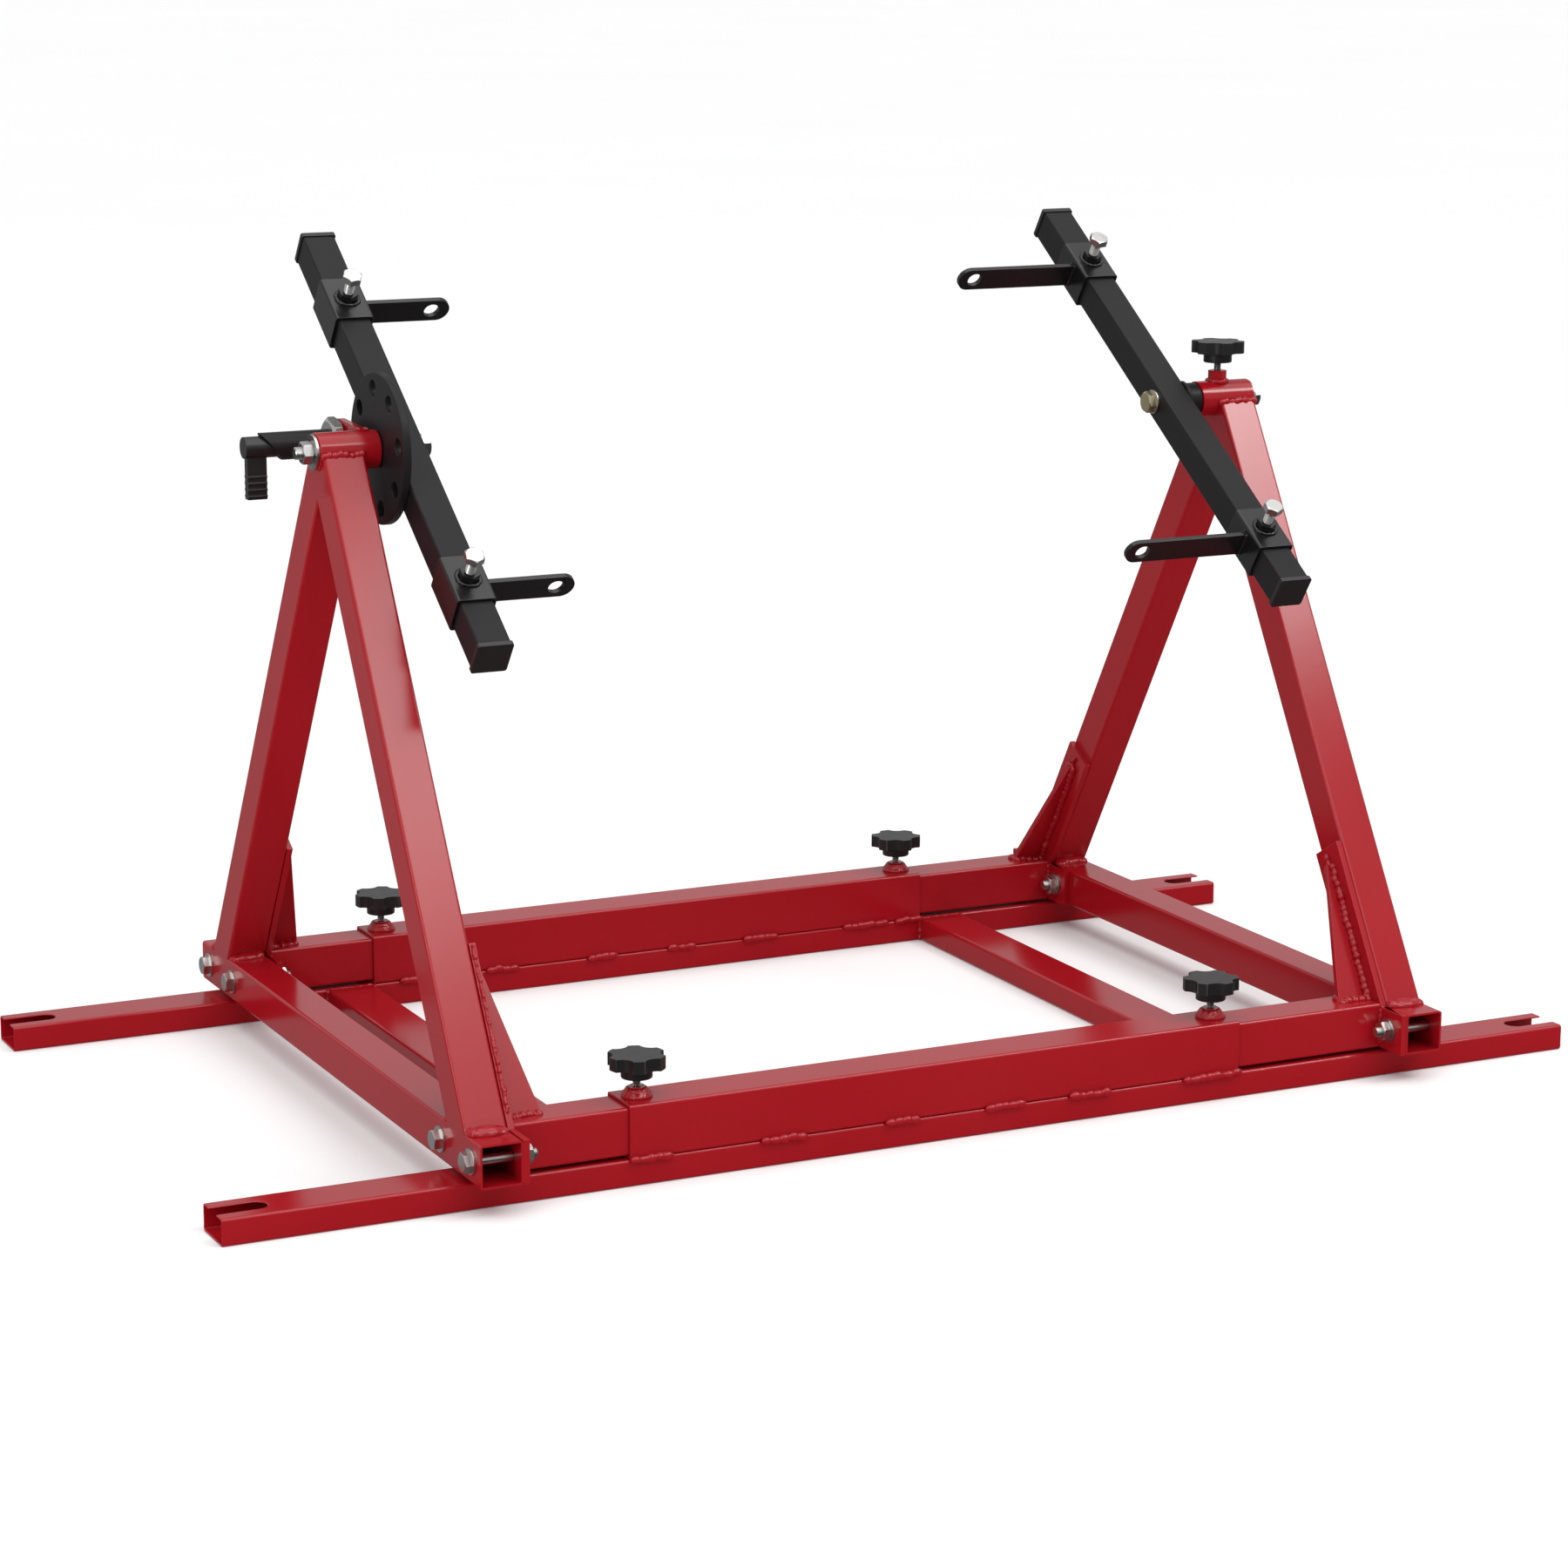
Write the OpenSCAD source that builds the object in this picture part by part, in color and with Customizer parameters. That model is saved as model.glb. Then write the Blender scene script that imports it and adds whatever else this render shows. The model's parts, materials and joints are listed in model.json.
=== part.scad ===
// Adjustable bench stand for a motorcycle engine.
// A floor frame carries two A-shaped towers that slide in or out. Each tower holds a turning
// arm, and each arm carries two sliding collars with drilled straps that bolt to the engine.
// Millimetres, +Z up, origin on the floor at the middle of the frame.

/* [Floor frame] */
// Length of each floor rail
rail_len = 1384; // [1200:1:1700]
// Width of each floor rail
rail_w = 50; // [50:1:60]
// Height of each floor rail
rail_h = 25; // [20:1:40]
// Wall of the floor rails and floor bars
rail_wall = 2; // [1.5:0.5:3]
// Distance between the centre lines of the two rails
rail_gauge = 645; // [560:1:800]
// Width of the fixing slot at each rail end
slot_w = 21; // [12:1:26]
// Length of the fixing slot, from the rail end to its round end
slot_len = 49; // [30:1:60]
// Outer size of the square sleeve on each rail
sleeve_size = 50; // [48:1:60]
// Wall of the sleeves
sleeve_wall = 2.5; // [2:0.5:3]
// Length of the sleeves
sleeve_len = 631; // [560:1:760]

/* [Slides] */
// Clearance between a slide and its sleeve, each side
slide_gap = 0.5; // [0.4:0.1:1]
// Length of each slide tube
slide_len = 358; // [300:1:400]
// Slide showing outside the sleeve at the left tower
left_pull = 109; // [80:1:220]
// Slide showing outside the sleeve at the right tower
right_pull = 162; // [80:1:220]

/* [Towers] */
// Outer size of the tower tubes
tube_size = 40; // [35:1:45]
// Wall of the tower tubes
tube_wall = 2; // [1.5:0.5:3]
// Height of the cross tube above the rail top
cross_lift = 3.5; // [2:0.5:6]
// Height of the arm's turning axis above the floor
pivot_z = 618.5; // [520:0.5:760]
// Wall of the bearing barrel
barrel_wall = 4.8; // [4:0.1:8]
// Length of the bearing barrel
barrel_len = 59.5; // [50:1:70]
// Thickness of the bolted corner plates
plate_t = 6; // [4:0.5:8]
// Length of the leg bar on each corner plate
bar_len = 158; // [140:1:220]
// Height of each gusset
gusset_h = 140; // [100:1:160]
// Foot length of each gusset
gusset_foot = 33; // [24:1:55]

/* [Arms] */
// Outer size of the arm tubes
arm_size = 32; // [30:1:34]
// Wall of the arm tubes
arm_wall = 2; // [1.5:0.5:3]
// Lean of the left arm from the vertical, in degrees
left_lean = 53.7; // [30:0.1:75]
// Lean of the right arm from the vertical, in degrees
right_lean = 56; // [30:0.1:75]
// Left arm length above and below its axis
left_arm_len = [280, 270.5];
// Right arm length above and below its axis
right_arm_len = [289, 284];
// Length of the spacer shoulder beside the right arm
shoulder_len = 15.5; // [12:0.5:30]
// Outer diameter of the turning spindles
spindle_d = 26; // [22:0.5:28]
// Diameter of the index disc
disc_d = 140; // [130:1:160]
// Thickness of the index disc
disc_t = 8; // [6:0.5:10]
// Number of index holes
hole_count = 8; // [4:4:12]
// Diameter of the circle of index holes
hole_circle = 110; // [104:1:116]

/* [Collars and straps] */
// Wall of the sliding collars
collar_wall = 2.5; // [2:0.5:4]
// Length of the sliding collars
collar_len = 55; // [40:1:65]
// Clearance between collar and arm, each side
collar_gap = 0.5; // [0.4:0.1:1]
// Left collar centres, above and below the axis
left_collar_at = [184, 188];
// Right collar centres, above and below the axis
right_collar_at = [202, 210.5];
// Width of the engine straps
strap_w = 25; // [22:0.5:30]
// Thickness of the engine straps
strap_t = 5; // [4:0.5:6]
// Diameter of the hole in each strap
strap_hole_d = 15; // [9:0.5:16]
// Distance of the strap's free end from the middle of the stand
strap_end = 282; // [240:1:320]
// Distance of the strap's hole from its free end
strap_hole_in = 18; // [15:0.5:24]

/* [Knobs] */
// Distance of the width knobs from the sleeve ends
knob_in = 17.5; // [15:0.5:60]
// Diameter of the star knobs
knob_d = 53; // [40:1:56]
// Diameter of the knob studs
stud_d = 7.4; // [6:0.2:8]

/* [Hidden] */

$fn = 48;
eps = 0.01;
red = "firebrick";
black = [0.15, 0.15, 0.16];
plastic = [0.1, 0.1, 0.1];
zinc = [0.78, 0.79, 0.8];

// Tube corner radii, and the small gap left between a moving face and a fixed one
tube_r = 3;
arm_r = 2.5;
run_gap = 0.4;
shaft_gap = 0.05;
left = -1;
right = 1;
front = -1;
rear = 1;

// Frame levels
gauge_y = rail_gauge / 2;
sleeve_mid_z = rail_h + sleeve_size / 2;
sleeve_top_z = rail_h + sleeve_size;
slide_size = sleeve_size - 2 * sleeve_wall - 2 * slide_gap;
knob_at = sleeve_len / 2 - knob_in;
cross_z = rail_h + cross_lift;
deck_z = cross_z + tube_size;

// Tower planes, as distances from the middle of the stand
function pull(side) = side == left ? left_pull : right_pull;
function plate_in(side) = sleeve_len / 2 + pull(side);
function tower_in(side) = plate_in(side) + plate_t;

// The legs lean so that their centre lines meet a little below the turning axis
apex_drop = 8;
leg_lean = atan(gauge_y / (pivot_z - apex_drop - deck_z));

// Barrel, a running fit on the spindle; its ends are measured from the tower's inner plane
barrel_d = spindle_d + 2 * barrel_wall;
left_barrel_inset = 17.5;
right_barrel_inset = 19;
function barrel_inset(side) = side == left ? left_barrel_inset : right_barrel_inset;
function barrel_start(side) = tower_in(side) - barrel_inset(side);

// Corner bolts, M10, two through each corner plate
corner_bolt_d = 10;
corner_bolt_out = slide_size / 2 + 14;
corner_bolt_z = cross_z + tube_size / 2;
corner_hole_d = corner_bolt_d + 1;
hex_across = 17;
hex_h = 7;
nut_h = 8;
washer_d = 24;
washer_t = 2;
bolt_end = 5;
plate_half = corner_bolt_out + 22;
cross_len = rail_gauge + 2 * plate_half;

// Arms, as distances from the middle of the stand
disc_gap = 0.8;
disc_face = barrel_start(left) - disc_gap;
left_arm_out = disc_face - disc_t;
left_arm_x = left_arm_out - arm_size / 2;
right_arm_out = barrel_start(right) - disc_gap - shoulder_len;
right_arm_x = right_arm_out - arm_size / 2;
cap_t = 5;
cap_size = arm_size + 2.4;
shoulder_d = 33.5;

// Pivot bolts, M12, the same length on both towers
pivot_d = 12;
pivot_across = 19;
pivot_head_h = 8;
pivot_nut_h = 10;
pivot_len = arm_size + shoulder_len + barrel_len + 16;
pivot_washer_d = 33;
pivot_washer_t = 2.5;

// Index plunger, in line with the turning axis and behind it
index_y = hole_circle / 2;
pin_d = 14;
pin_hole_d = 15;
body_d = 26;
body_len = 67;
body_cut = 21.6;
thread_d = 22;
lug_t = 6.5;
lug_in = 10;
lug_r = 22;
index_nut_across = 42;
index_nut_t = 11.5;
hub_d = 20;
hub_len = 30;
hub_out = 14;
lever_w = 18.5;
lever_t = 9;
lever_len = 58;
lever_clear = 15;
lug_x = disc_face + lug_in;
index_nut_x = lug_x + lug_t;
body_x = index_nut_x + index_nut_t;

// Collars and their set bolts, M10
collar_size = arm_size + 2 * (collar_gap + collar_wall);
collar_nut_h = 8;
collar_shank = 14;
collar_bolt_d = 9.8;

// Star knobs and the nuts welded under them
hub_knob_d = 28.5;
hub_knob_h = 9.5;
head_h = 12;
dome_h = 1;
lobes = 6;
scallop_d = 22;
scallop_depth = 5;
knob_nut_across = 15.5;
knob_nut_h = 9.5;
stud_gap = 8;
weld_skirt_d = 25;
barrel_knob_x = tower_in(right) + 6.5;
barrel_nut_across = 16;
barrel_nut_h = 12.5;

// ---- Shapes that repeat ----

// Square with true round corners, centred
module round_square(w, h, r) {
    square([w - 2 * r, h], center = true);
    square([w, h - 2 * r], center = true);
    for (x = [-1, 1], y = [-1, 1])
        translate([x * (w / 2 - r), y * (h / 2 - r)]) circle(r);
}

// Hollow section, centred on Z, from 0 upwards
module tube(w, h, len, wall, r) {
    linear_extrude(len) difference() {
        round_square(w, h, r);
        round_square(w - 2 * wall, h - 2 * wall, max(r - wall, 0.5));
    }
}

// Hollow section along X, centred on the axis
module tube_x(w, h, len, wall, r) {
    rotate([90, 0, 90]) tube(w, h, len, wall, r);
}

// Hexagon standing on Z, two flats facing front and rear
module hexagon(across, h) {
    rotate([0, 0, 30]) cylinder(d = across / cos(30), h = h, $fn = 6);
}

// Mirrors the right-hand form of a tower part to the side asked for
module on_side(side) {
    mirror([side == left ? 1 : 0, 0, 0]) children();
}

// Mirrors the front form of a part to the rear
module at_row(row) {
    mirror([0, row == rear ? 1 : 0, 0]) children();
}

// ---- Floor frame ----

module rail(row) {
    color(red) translate([0, row * gauge_y, 0]) difference() {
        translate([-rail_len / 2, 0, rail_h / 2]) tube_x(rail_w, rail_h, rail_len, rail_wall, tube_r);
        for (end = [0, 1])
            mirror([end, 0, 0]) translate([rail_len / 2 - slot_len + slot_w / 2, 0, rail_h / 2])
                linear_extrude(rail_h) union() {
                    circle(d = slot_w);
                    translate([0, -slot_w / 2]) square([slot_len, slot_w]);
                }
    }
}

module sleeve(row) {
    color(red) difference() {
        translate([-sleeve_len / 2, row * gauge_y, sleeve_mid_z])
            tube_x(sleeve_size, sleeve_size, sleeve_len, sleeve_wall, tube_r);
        for (side = [left, right])
            translate([side * knob_at, row * gauge_y, sleeve_mid_z])
                cylinder(d = stud_d + 1, h = sleeve_size);
    }
}

// Flat bar across the floor, just outside the sleeve ends
module floor_bar(side) {
    bar_x = side * (sleeve_len / 2 + rail_w / 2 + 0.5);
    span = rail_gauge - rail_w;
    color(red) translate([bar_x, -span / 2, rail_h / 2])
        rotate([-90, 0, 0]) tube(rail_w, rail_h, span, rail_wall, tube_r);
}

// Nut for a star knob, with the ring of weld around its foot
module welded_nut(across, h, skirt) {
    difference() {
        union() {
            hexagon(across, h);
            cylinder(d1 = skirt, d2 = across / cos(30) + 0.6, h = h / 4);
        }
        translate([0, 0, -1]) cylinder(d = stud_d + 2 * shaft_gap, h = h + 2);
    }
}

module sleeve_nuts() {
    color(red) for (side = [left, right], row = [front, rear])
        translate([side * knob_at, row * gauge_y, sleeve_top_z])
            welded_nut(knob_nut_across, knob_nut_h, weld_skirt_d);
}

// ---- Towers ----

module slide(side, row) {
    color(red) on_side(side) translate([plate_in(side) - slide_len, row * gauge_y, sleeve_mid_z])
        tube_x(slide_size, slide_size, slide_len, tube_wall, tube_r);
}

// Frame of a leaning leg: origin at the middle of its foot, +Z up along the leg
module leg_frame(row) {
    at_row(row) translate([0, -gauge_y, deck_z]) rotate([-leg_lean, 0, 0]) children();
}

// Plate bolted over the cross tube's end, with a bar up the leg and a gusset on the slide
module bracket(side, row) {
    slide_top = sleeve_mid_z + slide_size / 2;
    color(red) on_side(side) {
        difference() {
            union() {
                at_row(row) translate([plate_in(side), -cross_len / 2, cross_z])
                    cube([plate_t, cross_len / 2 - gauge_y + plate_half, tube_size]);
                intersection() {
                    leg_frame(row) translate([plate_in(side), -tube_size / 2, -tube_size])
                        cube([plate_t, tube_size, tube_size + bar_len]);
                    translate([plate_in(side), -cross_len / 2, cross_z])
                        cube([plate_t, cross_len, pivot_z]);
                }
            }
            for (out = [-1, 1])
                translate([plate_in(side) - 1, row * (gauge_y + out * corner_bolt_out), corner_bolt_z])
                    rotate([0, 90, 0]) cylinder(d = corner_hole_d, h = plate_t + 2);
        }
        intersection() {
            leg_frame(row) translate([plate_in(side), plate_t / 2, 0]) rotate([90, 0, 0])
                linear_extrude(plate_t) polygon([
                    [0, -tube_size], [0, gusset_h], [-plate_t, gusset_h],
                    [-gusset_foot, slide_top - deck_z + plate_t], [-gusset_foot, -tube_size]]);
            translate([plate_in(side) - gusset_foot, -cross_len / 2, slide_top])
                cube([gusset_foot, cross_len, pivot_z]);
        }
    }
}

module cross_tube(side) {
    color(red) on_side(side) difference() {
        translate([tower_in(side) + tube_size / 2, -cross_len / 2, cross_z + tube_size / 2])
            rotate([-90, 0, 0]) tube(tube_size, tube_size, cross_len, tube_wall, tube_r);
        for (row = [front, rear], out = [-1, 1])
            translate([tower_in(side) - 1, row * (gauge_y + out * corner_bolt_out), corner_bolt_z])
                rotate([0, 90, 0]) cylinder(d = corner_hole_d, h = tube_size + 2);
    }
}

// Leg: foot cut flat on the cross tube, top mitred and coped under the barrel
module leg(side, row) {
    leg_len = pivot_z / cos(leg_lean);
    color(red) on_side(side) difference() {
        leg_frame(row) translate([tower_in(side) + tube_size / 2, 0, -tube_size])
            tube(tube_size, tube_size, leg_len, tube_wall, tube_r);
        translate([tower_in(side) - 1, -cross_len, 0]) cube([tube_size + 2, 2 * cross_len, deck_z]);
        translate([tower_in(side) - 1, row == front ? 0 : -cross_len, 0])
            cube([tube_size + 2, cross_len, 2 * pivot_z]);
        translate([tower_in(side) - 1, -cross_len, pivot_z])
            cube([tube_size + 2, 2 * cross_len, pivot_z]);
        translate([tower_in(side) - 1, 0, pivot_z])
            rotate([0, 90, 0]) cylinder(d = barrel_d, h = tube_size + 2);
    }
}

module barrel(side) {
    color(red) on_side(side) difference() {
        translate([barrel_start(side), 0, pivot_z])
            rotate([0, 90, 0]) cylinder(d = barrel_d, h = barrel_len);
        translate([barrel_start(side) - 1, 0, pivot_z])
            rotate([0, 90, 0]) cylinder(d = spindle_d + 2 * shaft_gap, h = barrel_len + 2);
        if (side == right)
            translate([barrel_knob_x, 0, pivot_z]) cylinder(d = stud_d + 1, h = barrel_d);
    }
}

// Hexagon bolt along X from a head on the outer face, with a washer and nut inside
module corner_bolt(side) {
    grip = tube_size + plate_t;
    translate([tower_in(side) + tube_size, 0, 0]) rotate([0, -90, 0]) {
        translate([0, 0, -hex_h - washer_t]) hexagon(hex_across, hex_h);
        translate([0, 0, -washer_t]) cylinder(d = washer_d, h = washer_t);
        translate([0, 0, -washer_t])
            cylinder(d = corner_bolt_d, h = grip + 2 * washer_t + nut_h + bolt_end);
        translate([0, 0, grip]) cylinder(d = washer_d, h = washer_t);
        translate([0, 0, grip + washer_t]) hexagon(hex_across, nut_h);
    }
}

module corner_bolts(side) {
    color(zinc) on_side(side) for (row = [front, rear], out = [-1, 1])
        translate([0, row * (gauge_y + out * corner_bolt_out), corner_bolt_z]) corner_bolt(side);
}

module barrel_nut() {
    seat = barrel_d / 2 - 2;
    color(red) difference() {
        translate([barrel_knob_x, 0, pivot_z + seat])
            welded_nut(barrel_nut_across, barrel_nut_h, barrel_nut_across + 6);
        translate([barrel_start(right), 0, pivot_z])
            rotate([0, 90, 0]) cylinder(d = barrel_d, h = barrel_len);
    }
}

// ---- Index plunger on the left tower ----

// Lug plate welded behind the barrel, drilled for the plunger
module index_lug() {
    color(red) on_side(left) difference() {
        translate([lug_x, 0, pivot_z]) rotate([90, 0, 90]) linear_extrude(lug_t) union() {
            translate([index_y, 0]) circle(lug_r);
            polygon([
                [index_y, lug_r], [-barrel_d / 8, barrel_d / 2 + 1],
                [-barrel_d / 8, -barrel_d / 2], [index_y, -lug_r]]);
        }
        translate([lug_x - 1, 0, pivot_z])
            rotate([0, 90, 0]) cylinder(d = barrel_d, h = lug_t + 2);
        translate([lug_x - 1, index_y, pivot_z])
            rotate([0, 90, 0]) cylinder(d = thread_d, h = lug_t + 2);
        leg_cut(left);
    }
}

// Space taken by the legs under the barrel, kept clear by the lug
module leg_cut(side) {
    for (row = [front, rear])
        leg_frame(row) translate([tower_in(side) - 1, -tube_size / 2, 0])
            cube([tube_size + 2, tube_size, pivot_z]);
}

module index_nut() {
    color(zinc) on_side(left) difference() {
        translate([index_nut_x, index_y, pivot_z]) rotate([0, 90, 0]) rotate([0, 0, 18])
            hexagon(index_nut_across, index_nut_t);
        translate([index_nut_x - 1, index_y, pivot_z])
            rotate([0, 90, 0]) cylinder(d = thread_d, h = index_nut_t + 2);
        translate([index_nut_x - 1, 0, pivot_z]) rotate([0, 90, 0])
            cylinder(d = barrel_d + 0.4, h = index_nut_t + 2);
    }
}

// Body: threaded through lug and nut, its outer end cut on a slant around the lever's hub
module index_body() {
    thread_len = lug_t + index_nut_t;
    color(black) on_side(left) translate([lug_x, index_y, pivot_z]) rotate([0, 90, 0])
        difference() {
            union() {
                cylinder(d = thread_d, h = thread_len);
                translate([0, 0, thread_len]) cylinder(d = body_d, h = body_len);
            }
            translate([0, 0, -1]) cylinder(d = pin_d + 2 * shaft_gap, h = thread_len + body_len + 2);
            translate([0, 0, thread_len + body_len - hub_len]) cylinder(d = hub_d + 2, h = hub_len + 1);
            translate([body_d / 2, 0, thread_len + body_len - body_cut])
                rotate([0, atan(body_cut / body_d), 0])
                    translate([-2 * body_d, -body_d, 0]) cube([4 * body_d, 2 * body_d, 2 * body_d]);
        }
}

// Pin: runs in the body, its nose just clear of the index disc
module index_pin() {
    hub_in = body_x + body_len - body_cut + lever_clear - hub_out;
    color(zinc) on_side(left) translate([disc_face + run_gap, index_y, pivot_z]) rotate([0, 90, 0])
        cylinder(d = pin_d, h = hub_in - disc_face - run_gap);
}

// Lever: round hub on the pin with a ribbed paddle hanging from it
module index_lever() {
    paddle_x = body_x + body_len - body_cut + lever_clear;
    rib_pitch = 6;
    color(plastic) on_side(left) translate([paddle_x, index_y, pivot_z]) {
        translate([-hub_out, 0, 0]) rotate([0, 90, 0]) cylinder(d = hub_d, h = hub_out + lever_w + 2.5);
        translate([0, -lever_t / 2, -lever_len + hub_d / 2])
            cube([lever_w, lever_t, lever_len - hub_d / 2]);
        for (i = [0:3]) for (face = [-1, 1])
            translate([0, face * lever_t / 2, -lever_len + hub_d / 2 + rib_pitch * (i + 0.5)])
                rotate([0, 90, 0]) cylinder(d = 2.5, h = lever_w);
    }
}

// ---- Turning arms ----

function arm_x(side) = side == left ? left_arm_x : right_arm_x;
function arm_lean(side) = side == left ? left_lean : right_lean;
function arm_reach(side) = side == left ? left_arm_len : right_arm_len;
function collar_at(side) = side == left ? left_collar_at : right_collar_at;

// Frame of an arm: origin on the turning axis, +Z along its upper end, -Y to the set bolts
module arm_frame(side) {
    on_side(side) translate([arm_x(side), 0, pivot_z]) rotate([-arm_lean(side), 0, 0]) children();
}

module arm_tube(side) {
    reach = arm_reach(side);
    color(black) arm_frame(side) difference() {
        translate([0, 0, cap_t - reach[1]])
            tube(arm_size, arm_size, reach[0] + reach[1] - 2 * cap_t, arm_wall, arm_r);
        rotate([0, 90, 0]) cylinder(d = pivot_d + 0.5, h = 2 * arm_size, center = true);
    }
}

// Two plastic caps, each a head with a plug inside the tube
module arm_caps(side) {
    reach = arm_reach(side);
    plug = arm_size - 2 * arm_wall - 0.4;
    color(plastic) arm_frame(side) for (end = [0, 1])
        mirror([0, 0, end]) translate([0, 0, reach[end] - cap_t]) {
            linear_extrude(cap_t) round_square(cap_size, cap_size, arm_r);
            translate([0, 0, -2 * cap_t]) linear_extrude(2 * cap_t) round_square(plug, plug, 1);
        }
}

// Disc welded to the left arm, one index hole on the arm's own line
module index_disc() {
    color(black) on_side(left) translate([left_arm_out, 0, pivot_z]) rotate([-left_lean, 0, 0])
        rotate([0, 90, 0]) difference() {
            cylinder(d = disc_d, h = disc_t, $fn = 96);
            translate([0, 0, -1]) cylinder(d = pivot_d + 0.5, h = disc_t + 2);
            for (i = [0:hole_count - 1]) rotate([0, 0, i * 360 / hole_count])
                translate([hole_circle / 2, 0, -1]) cylinder(d = pin_hole_d, h = disc_t + 2);
        }
}

// Spindle turning in the barrel; the right one has a shoulder against the arm
module spindle(side) {
    start = side == left ? disc_face : right_arm_out;
    end = barrel_start(side) + barrel_len + run_gap;
    color(black) on_side(side) difference() {
        translate([0, 0, pivot_z]) rotate([0, 90, 0]) {
            translate([0, 0, start]) cylinder(d = spindle_d, h = end - start);
            if (side == right) translate([0, 0, start]) cylinder(d = shoulder_d, h = shoulder_len);
        }
        translate([start - 1, 0, pivot_z])
            rotate([0, 90, 0]) cylinder(d = pivot_d + 0.2, h = end - start + 2);
    }
}

// Long bolt through arm, spindle and barrel, with its washer and nut at the outer end
module pivot_bolt(side) {
    washer_x = barrel_start(side) + barrel_len + run_gap;
    head_x = arm_x(side) - arm_size / 2 - pivot_washer_t;
    color(zinc) on_side(side) translate([0, 0, pivot_z]) rotate([0, 90, 0]) {
        translate([0, 0, head_x - pivot_head_h]) hexagon(pivot_across, pivot_head_h);
        translate([0, 0, head_x]) cylinder(d = washer_d, h = pivot_washer_t);
        translate([0, 0, head_x]) cylinder(d = pivot_d, h = pivot_len);
        translate([0, 0, washer_x]) cylinder(d = pivot_washer_d, h = pivot_washer_t);
        translate([0, 0, washer_x + pivot_washer_t]) hexagon(pivot_across, pivot_nut_h);
    }
}

// ---- Collars, straps and set bolts ----

// Frame of a collar; end is 0 for the upper and 1 for the lower
module collar_frame(side, end) {
    arm_frame(side) translate([0, 0, (end == 0 ? 1 : -1) * collar_at(side)[end]]) children();
}

module collar(side, end) {
    strap_len = arm_x(side) - collar_size / 2 - strap_end;
    color(black) collar_frame(side, end) {
        difference() {
            union() {
                translate([0, 0, -collar_len / 2])
                    tube(collar_size, collar_size, collar_len, collar_wall, tube_r);
                translate([0, -collar_size / 2 + eps, 0])
                    rotate([90, 0, 0]) hexagon(hex_across, collar_nut_h + eps);
            }
            translate([0, -arm_size / 2, 0]) rotate([90, 0, 0])
                cylinder(d = collar_bolt_d + 2 * shaft_gap, h = collar_size);
        }
        translate([-collar_size / 2 - strap_len, 0, -strap_t / 2]) difference() {
            union() {
                translate([strap_w / 2, -strap_w / 2, 0])
                    cube([strap_len - strap_w / 2, strap_w, strap_t]);
                translate([strap_w / 2, 0, 0]) cylinder(d = strap_w, h = strap_t);
            }
            translate([strap_hole_in, 0, -1]) cylinder(d = strap_hole_d, h = strap_t + 2);
        }
    }
}

module collar_bolt(side, end) {
    tip = arm_size / 2 + run_gap;
    head = collar_size / 2 + collar_nut_h + collar_shank;
    color(zinc) collar_frame(side, end) rotate([90, 0, 0]) {
        translate([0, 0, tip]) cylinder(d = collar_bolt_d, h = head - tip);
        translate([0, 0, head]) hexagon(hex_across, hex_h);
    }
}

// ---- Star knobs ----

// Lobed head over a round hub, standing on z = 0, with a blind hole for its stud
module star_knob() {
    color(plastic) difference() {
        union() {
            cylinder(d = hub_knob_d, h = hub_knob_h);
            translate([0, 0, hub_knob_h]) cylinder(d = knob_d, h = head_h);
            translate([0, 0, hub_knob_h + head_h])
                cylinder(d1 = 0.76 * knob_d, d2 = 0.3 * knob_d, h = dome_h);
        }
        for (i = [0:lobes - 1]) rotate([0, 0, (i + 0.5) * 360 / lobes])
            translate([(knob_d + scallop_d) / 2 - scallop_depth, 0, -1])
                cylinder(d = scallop_d, h = 2 * knob_d);
        translate([0, 0, -eps]) cylinder(d = stud_d, h = hub_knob_h);
    }
}

// Steel stud from its tip up into the knob; below is how far it reaches under the hub
module stud(below) {
    color(zinc) translate([0, 0, -below]) cylinder(d = stud_d, h = below + hub_knob_h - 0.5);
}

knob_z = sleeve_top_z + knob_nut_h + stud_gap;
stud_below = knob_z - (sleeve_mid_z + slide_size / 2 + run_gap);
barrel_knob_z = pivot_z + barrel_d / 2 - 2 + barrel_nut_h + stud_gap;
barrel_stud_below = barrel_knob_z - (pivot_z + spindle_d / 2 + run_gap);

module width_knob(side, row) {
    translate([side * knob_at, row * gauge_y, knob_z]) star_knob();
}

module width_stud(side, row) {
    translate([side * knob_at, row * gauge_y, knob_z]) stud(stud_below);
}

module barrel_knob() {
    translate([barrel_knob_x, 0, barrel_knob_z]) star_knob();
}

module barrel_stud() {
    translate([barrel_knob_x, 0, barrel_knob_z]) stud(barrel_stud_below);
}

// ---- Nodes ----

rail(front);  // rail_front
rail(rear);  // rail_rear
sleeve(front);  // sleeve_front
sleeve(rear);  // sleeve_rear
floor_bar(left);  // floor_bar_left
floor_bar(right);  // floor_bar_right
sleeve_nuts();

slide(left, front);  // left_slide_front
slide(left, rear);  // left_slide_rear
bracket(left, front);  // left_bracket_front
bracket(left, rear);  // left_bracket_rear
cross_tube(left);  // left_cross_tube
leg(left, front);  // left_leg_front
leg(left, rear);  // left_leg_rear
barrel(left);  // left_barrel
corner_bolts(left);  // left_corner_bolts
index_lug();
index_nut();
index_body();

slide(right, front);  // right_slide_front
slide(right, rear);  // right_slide_rear
bracket(right, front);  // right_bracket_front
bracket(right, rear);  // right_bracket_rear
cross_tube(right);  // right_cross_tube
leg(right, front);  // right_leg_front
leg(right, rear);  // right_leg_rear
barrel(right);  // right_barrel
corner_bolts(right);  // right_corner_bolts
barrel_nut();

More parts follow.
